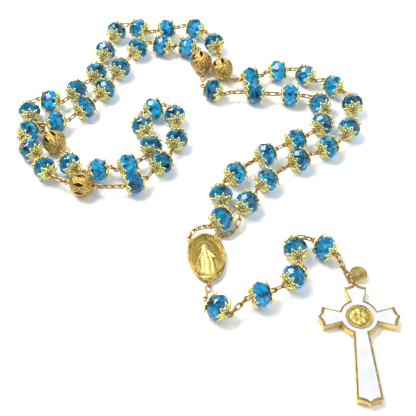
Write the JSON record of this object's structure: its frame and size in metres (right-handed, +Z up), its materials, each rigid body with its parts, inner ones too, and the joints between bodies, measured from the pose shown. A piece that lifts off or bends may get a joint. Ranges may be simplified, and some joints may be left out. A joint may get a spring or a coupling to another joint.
{
  "type": "rosary",
  "caption": "Looped string of faceted glass beads with slotted gilt balls, an oval centre medal, and a tail ending in an enamelled cross and a small round charm.",
  "frame": {"origin": "centre of the oval centre medal's flat back, on the surface the rosary lies on", "axes": "+Z up from the surface, +Y along the longest extent from the cross's foot towards the far end of the loop, +X to the right seen from above"},
  "size_m": [0.1269, 0.1679, 0.0084],
  "materials": {
    "gold": "polished gilt",
    "gold_wire": "polished gilt wire",
    "blue_glass": "faceted transparent blue",
    "white_enamel": "gloss white enamel"
  },
  "bodies": {
    "near_loop": {"centre_medal": "gold", "medal_relief": "gold", "decade_1_beads": "blue_glass", "decade_1_caps": "gold", "decade_1_pins": "gold_wire", "decade_1_links": "gold_wire", "decade_5_beads": "blue_glass", "decade_5_caps": "gold", "decade_5_pins": "gold_wire", "decade_5_links": "gold_wire"},
    "far_loop": {"decade_2_beads": "blue_glass", "decade_2_caps": "gold", "decade_2_pins": "gold_wire", "decade_2_links": "gold_wire", "decade_3_beads": "blue_glass", "decade_3_caps": "gold", "decade_3_pins": "gold_wire", "decade_3_links": "gold_wire", "decade_4_beads": "blue_glass", "decade_4_caps": "gold", "decade_4_pins": "gold_wire", "decade_4_links": "gold_wire", "decade_5_end_bead": "blue_glass", "decade_5_end_caps": "gold", "decade_5_end_pin": "gold_wire", "pater_1_pin": "gold_wire", "pater_2_pin": "gold_wire", "pater_3_pin": "gold_wire", "pater_4_pin": "gold_wire"},
    "pater_ball_1": {"pater_1_ball": "gold"},
    "pater_ball_2": {"pater_2_ball": "gold"},
    "pater_ball_3": {"pater_3_ball": "gold"},
    "pater_ball_4": {"pater_4_ball": "gold"},
    "tail_1": {"tail_1_pin": "gold_wire", "tail_1_links": "gold_wire"},
    "tail_bead_1": {"tail_1_bead": "blue_glass", "tail_1_caps": "gold"},
    "tail_2": {"tail_2_pin": "gold_wire", "tail_2_links": "gold_wire"},
    "tail_bead_2": {"tail_2_bead": "blue_glass", "tail_2_caps": "gold"},
    "tail_3": {"tail_3_pin": "gold_wire", "tail_3_link": "gold_wire"},
    "tail_bead_3": {"tail_3_bead": "blue_glass", "tail_3_caps": "gold"},
    "tail_4": {"tail_4_pin": "gold_wire", "tail_4_link": "gold_wire"},
    "tail_bead_4": {"tail_4_bead": "blue_glass", "tail_4_caps": "gold"},
    "tail_5": {"tail_5_pin": "gold_wire", "tail_5_links": "gold_wire"},
    "tail_bead_5": {"tail_5_bead": "blue_glass", "tail_5_caps": "gold"},
    "drop": {"drop_chain": "gold_wire", "jump_ring": "gold_wire"},
    "cross": {"cross_frame": "gold", "cross_enamel": "white_enamel", "cross_medallion": "gold"},
    "charm": {"charm": "gold"}
  },
  "joints": [
    {"name": "fold", "type": "hinge", "parent": "near_loop", "child": "far_loop", "pos_m": [0.0106, 0.077, 0.0041], "axis": [0, 1, 0], "range_deg": [0, 90]},
    {"name": "pater_1_spin", "type": "hinge", "parent": "far_loop", "child": "pater_ball_1", "pos_m": [0.006, 0.0865, 0.0042], "axis": [-0.0872, 0.9962, 0], "continuous": true},
    {"name": "pater_2_spin", "type": "hinge", "parent": "far_loop", "child": "pater_ball_2", "pos_m": [-0.0535, 0.0475, 0.0042], "axis": [0.6428, -0.766, 0], "continuous": true},
    {"name": "pater_3_spin", "type": "hinge", "parent": "far_loop", "child": "pater_ball_3", "pos_m": [-0.042, 0.0275, 0.0042], "axis": [0.9848, -0.1736, 0], "continuous": true},
    {"name": "pater_4_spin", "type": "hinge", "parent": "far_loop", "child": "pater_ball_4", "pos_m": [-0.002, 0.0905, 0.0042], "axis": [-0.0872, 0.9962, 0], "continuous": true},
    {"name": "tail_1_swivel", "type": "hinge", "parent": "near_loop", "child": "tail_1", "pos_m": [0.00129, -0.00921, 0.0013], "axis": [0, 0, 1], "range_deg": [-45, 12]},
    {"name": "tail_1_spin", "type": "hinge", "parent": "tail_1", "child": "tail_bead_1", "pos_m": [0.0035, -0.0215, 0.0041], "axis": [0.788, -0.6157, 0], "continuous": true},
    {"name": "tail_2_swivel", "type": "hinge", "parent": "tail_1", "child": "tail_2", "pos_m": [0.00705, -0.02427, 0.0041], "axis": [0, 0, -1], "range_deg": [-15, 60]},
    {"name": "tail_2_spin", "type": "hinge", "parent": "tail_2", "child": "tail_bead_2", "pos_m": [0.0165, -0.017, 0.0041], "axis": [0.9397, 0.342, 0], "continuous": true},
    {"name": "tail_3_swivel", "type": "hinge", "parent": "tail_2", "child": "tail_3", "pos_m": [0.02073, -0.01546, 0.0041], "axis": [0, 0, 1], "range_deg": [-50, 40]},
    {"name": "tail_3_spin", "type": "hinge", "parent": "tail_3", "child": "tail_bead_3", "pos_m": [0.027, -0.0105, 0.0041], "axis": [0.7071, 0.7071, 0], "continuous": true},
    {"name": "tail_4_swivel", "type": "hinge", "parent": "tail_3", "child": "tail_4", "pos_m": [0.03018, -0.00732, 0.0041], "axis": [0, 0, -1], "range_deg": [-15, 30]},
    {"name": "tail_4_spin", "type": "hinge", "parent": "tail_4", "child": "tail_bead_4", "pos_m": [0.0282, 0.0003, 0.0041], "axis": [-0.1736, 0.9848, 0], "continuous": true},
    {"name": "tail_5_swivel", "type": "hinge", "parent": "tail_4", "child": "tail_5", "pos_m": [0.02742, 0.00473, 0.0041], "axis": [0, 0, 1], "range_deg": [0, 45]},
    {"name": "tail_5_spin", "type": "hinge", "parent": "tail_5", "child": "tail_bead_5", "pos_m": [0.0377, 0.0008, 0.0041], "axis": [0.766, -0.6428, 0], "continuous": true},
    {"name": "drop_swivel", "type": "hinge", "parent": "tail_5", "child": "drop", "pos_m": [0.04115, -0.00209, 0.0041], "axis": [0, 0, -1], "range_deg": [-40, 15]},
    {"name": "cross_swing", "type": "hinge", "parent": "drop", "child": "cross", "pos_m": [0.04588, -0.01091, 0.0013], "axis": [0, 0, 1], "range_deg": [-25, 25]},
    {"name": "charm_swing", "type": "hinge", "parent": "drop", "child": "charm", "pos_m": [0.04412, -0.00909, 0.0013], "axis": [0, 0, 1], "range_deg": [0, 60]}
  ]
}
